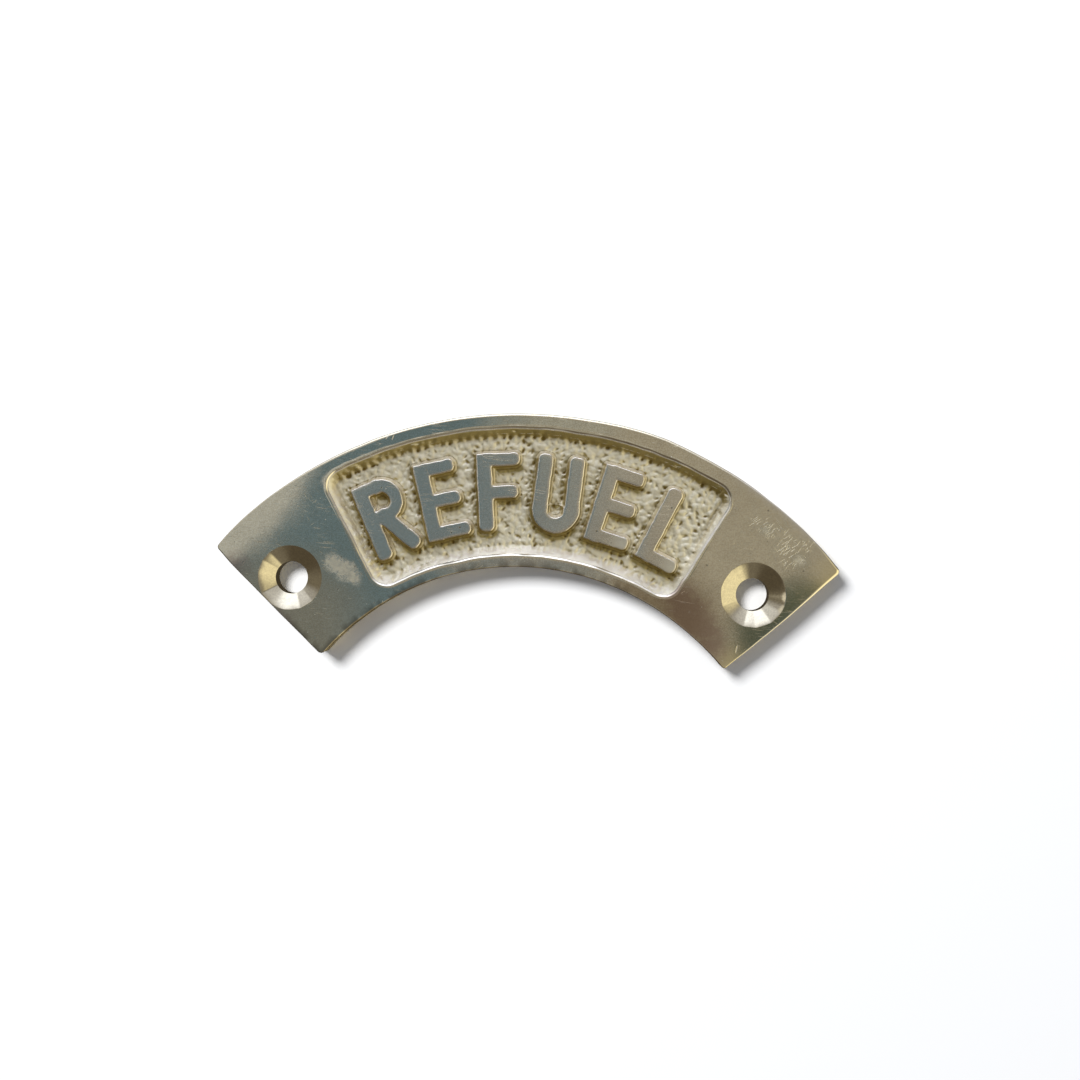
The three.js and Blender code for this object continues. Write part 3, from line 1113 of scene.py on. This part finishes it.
def raw_colour(tree, where):
    """Brass as cast: paler with painted highlight and wear, darker with painted shade, soot and patina
    in its hollows.
    """
    layers = (
        (step(grain(where, 0.9, 4.0, 0.7), 0.42, 0.62), 0.12, BLOTCH),
        (attribute(tree, "wear_and_highlight"), 1.0, PALE_WEAR_AND_HIGHLIGHT),
        (attribute(tree, "soot_and_shade"), 0.9, RAW_SOOT_AND_SHADE),
        (attribute(tree, "hollows_and_shade"), 1.0, HOLLOW_PATINA_AND_SHADE),
    )
    return layered(RAW, layers)


def polished_roughness(tree, marks):
    """Nearly a mirror, duller where it is marked and on the letters' tops."""
    shine = add_node(tree, "MapRange", [marks["mottle"], 0.3, 0.7, 0.03, 0.055]).outputs[0]
    for mask, amount in (
        (marks["line"], 0.11),
        (marks["tarnish"], 0.015),
        (marks["smudge"], 0.42),
        (attribute(tree, "lettering"), 0.10),
        (marks["bared"], 0.36),
    ):
        shine = raised(shine, mask, amount)
    return shine


def polished_bumps(where, marks):
    """Faint waves along the polishing, cut by scratches, pits and scuffs."""
    fine = bump(marks["streak"], 0.0003)
    fine = bump(grain(where, 0.35, 3.0, 0.6), 0.0005, 1.0, fine)
    fine = bump(maths("ADD", marks["line"], marks["pit"]), -0.008, 1.0, fine)
    return bump(marks["scuff"], -0.016, 1.0, fine)


def cast_brass(tree, where):
    """Brass as it left the sand, polished where the mask polish says so."""
    polish = attribute(tree, "polish")
    marks = polish_marks(tree, where)
    colour = mix_colour(polish, raw_colour(tree, where), polished_colour(tree, where, marks))
    dull = mix_value(attribute(tree, "hollows_and_shade"), 0.62, 0.78)
    roughness = mix_value(polish, dull, polished_roughness(tree, marks))
    sanded = bump(grain(where, 0.22, 3.0, 0.65), 0.05, 0.6)
    bumps = {0: polish, 4: sanded, 5: polished_bumps(where, marks)}
    normal = add_node(tree, "Mix", bumps, data_type="VECTOR").outputs[1]
    return colour, roughness, normal


def drilled_brass(tree, where):
    """Freshly cut brass, with the drill's rings."""
    shade = grain(where, 0.8)
    fleck = step(grain(where, 0.3, 3.0, 0.7), 0.35, 0.65)
    colour = layered(mix_colour(shade, *CUT), [(fleck, 0.45, CUT_FLECK)])
    roughness = step(shade, 0.2, 0.8, 0.07, 0.13)
    rings = grain(millimetres(tree, (4, 4, 0.09)), 1.0)
    return colour, roughness, bump(rings, 0.001, 1.0, bump(fleck, 0.0007))


def back_brass(tree, where):
    """The back and the sides as cast, sanded flat on coarse paper."""
    sand = grain(where, 0.5, 3.0, 0.6)
    dirt = step(raised(grain(where, 6.0, 4.0, 0.6), sand, 0.4), 0.55, 0.9)
    colour = mix_colour(dirt, LINISHED, BACK_DIRT)
    roughness = step(sand, 0.3, 0.7, 0.28, 0.5)
    drag = grain(millimetres(tree, (9.0, 0.18, 0.18), 12), 1.0, 3.0)
    return colour, roughness, bump(sand, 0.03, 0.7, bump(drag, 0.012))


def dress_plate(plate, brass):
    """Gives the plate's top, its drilled holes and its sides and back their own finishes."""
    mesh = plate.data
    mesh.materials.clear()
    for material in (brass, metal("drilled_brass", drilled_brass), metal("linished_brass", back_brass)):
        mesh.materials.append(material)
    centres = [on_arc(r, degrees) + (0, AXIS_Y) for r, degrees in SCREWS]
    for face in mesh.polygons:
        x, y, z = face.center / MM
        gap = min(hypot(x - cx, y - cy) for cx, cy in centres)
        brink = THICKNESS - (0.05 if gap < SCREW_HEAD_R else 0.09)
        if gap < SCREW_HEAD_R + 0.1 and 0.05 < z < brink:
            face.material_index = 1
        elif face.normal.z < 0.05:
            face.material_index = 2


# ---- masks, one value for each point of a mesh ----
def polish_mask(x, y, z, inset, distance):
    """1 on the land and the letters' tops, less where the metal ran thin."""
    weak = weak_places(x, y)
    polish = smooth(z + THIN * weak * (distance < 0.1) - land_height(x, y), -0.20, -0.08)
    return np.maximum(polish * (1 - 0.55 * weak), smooth(-inset, 0.0, 0.1))


def shade_under_strokes(x, y, distance):
    """The uneven band below each stroke of a letter, where painted shade goes."""
    _, rise = letters_slope(x, y, distance)
    band = smooth(-rise, 0.35, 0.85) * hump(distance, 0.55, 0.55)
    return band * smooth(noise(x, y, 0.9, 98), -1.2, 0.1)


def sooty_edge(x, y, outline):
    """The blackened part of the inner arc's edge, left of the middle."""
    uneven = noise(x, y, 1.6, 96) + 0.5 * noise(x, y, 0.6, 97)
    inner = smooth(-np.hypot(x, y), -48, -44)
    return outline * (1 - smooth(x, 10, 24)) * smooth(uneven, -0.6, 0.1) * inner


def brass_masks(x, y, z, east, north):
    """The masks that the cast brass looks up, for points and the ways they face."""
    inset = panel_inset(x, y)
    distance = letters_distance(x, y)
    in_panel = smooth(inset, 0.0, 0.15)
    outline = smooth(outline_distance(x, y), -0.55, -0.2)
    lettering = smooth(-distance, 0.0, 0.1)
    below = shade_under_strokes(x, y, distance)
    outer_wall = smooth(-north, 0.1, 0.5) * (1 - smooth(inset, 0.7, 1.3))

    # Painted shade, darker on sides away from the window, round the letters, under their strokes and on
    # the outer wall, and soot along the inner edge.
    strip = beside_letters(x, y, distance) * (1 + 0.6 * noise(x, y, 1.3, 95))
    soot_and_shade = smooth(-0.6 * east - 0.8 * north, 0.15, 0.65) + 0.9 * strip * smooth(-north, -0.6, 0.5)
    soot_and_shade = np.clip(soot_and_shade + 1.2 * below + 0.6 * outer_wall, 0, 1) * in_panel
    soot_and_shade = np.maximum(soot_and_shade, sooty_edge(x, y, outline))

    # Hollows: patina with painted shade in pits, at the foot of the panel's wall and in the creases
    # round the letters; more painted shade on the letters' sides away from the crown, on the outer wall
    # and under the strokes.
    foot = hump(inset, 1.1, 0.45) * smooth(np.hypot(x, y), 47, 54)
    sunk = smooth((FLOOR_Z - 0.01 - z) / 0.26)
    hollows_and_shade = np.clip(sunk + 0.3 * foot, 0, 1) * smooth(inset, 0.3, 0.8)
    under_top = smooth(distance, -0.02, 0.06) * (1 - smooth(distance, 0.14, 0.26))
    hollows_and_shade = hollows_and_shade + 0.8 * under_top * smooth(-north, -0.6, 0.1)
    hollows_and_shade = hollows_and_shade + 0.7 * hump(distance, 0.50, 0.09) * smooth(-north, -0.6, 0.2)
    hollows_and_shade = hollows_and_shade + 0.3 * outer_wall * soot_and_shade + 0.25 * below

    # Painted highlight with rubbed wear: paler on what faces the crown and the window, on the letters'
    # and the panel's edges and on the right rim.
    wear_and_highlight = smooth(0.3 * east + north, 0.35, 0.75) * in_panel
    edge = hump(distance, -0.03, 0.09) + hump(inset, -0.1, 0.16) + 0.7 * outline * smooth(x, 28, 34)
    wear_and_highlight = np.maximum(wear_and_highlight, edge) + 0.3 * lettering
    return {
        "polish": polish_mask(x, y, z, inset, distance),
        "hollows_and_shade": np.clip(hollows_and_shade, 0, 1),
        "soot_and_shade": soot_and_shade,
        "wear_and_highlight": np.clip(wear_and_highlight, 0, 1),
        "lettering": lettering,
    }


def paint_masks(piece):
    """Writes the masks on the points of a piece."""
    mesh = piece.data
    place = np.empty(len(mesh.vertices) * 3)
    facing = np.empty(len(mesh.vertices) * 3)
    mesh.vertices.foreach_get("co", place)
    mesh.vertex_normals.foreach_get("vector", facing)
    x, y, z = (place.reshape(-1, 3) / MM - (0, AXIS_Y, 0)).T
    east, north, _ = facing.reshape(-1, 3).T
    for name, values in brass_masks(x, y, z, east, north).items():
        mesh.attributes.new(name, "FLOAT", "POINT").data.foreach_set("value", values)


# ---- the scene ----
plate = make_plate()
ground = make_ground()
letters = [make_letter(*entry) for entry in WORD]
brass = metal("cast_brass", cast_brass)
for piece in [plate, ground] + letters:
    paint_masks(piece)
dress_plate(plate, brass)
for piece in [ground] + letters:
    piece.data.materials.append(brass)
make_camera()
make_floor()
make_world()
make_lamp()
bpy.context.scene.view_settings.view_transform = "Standard"
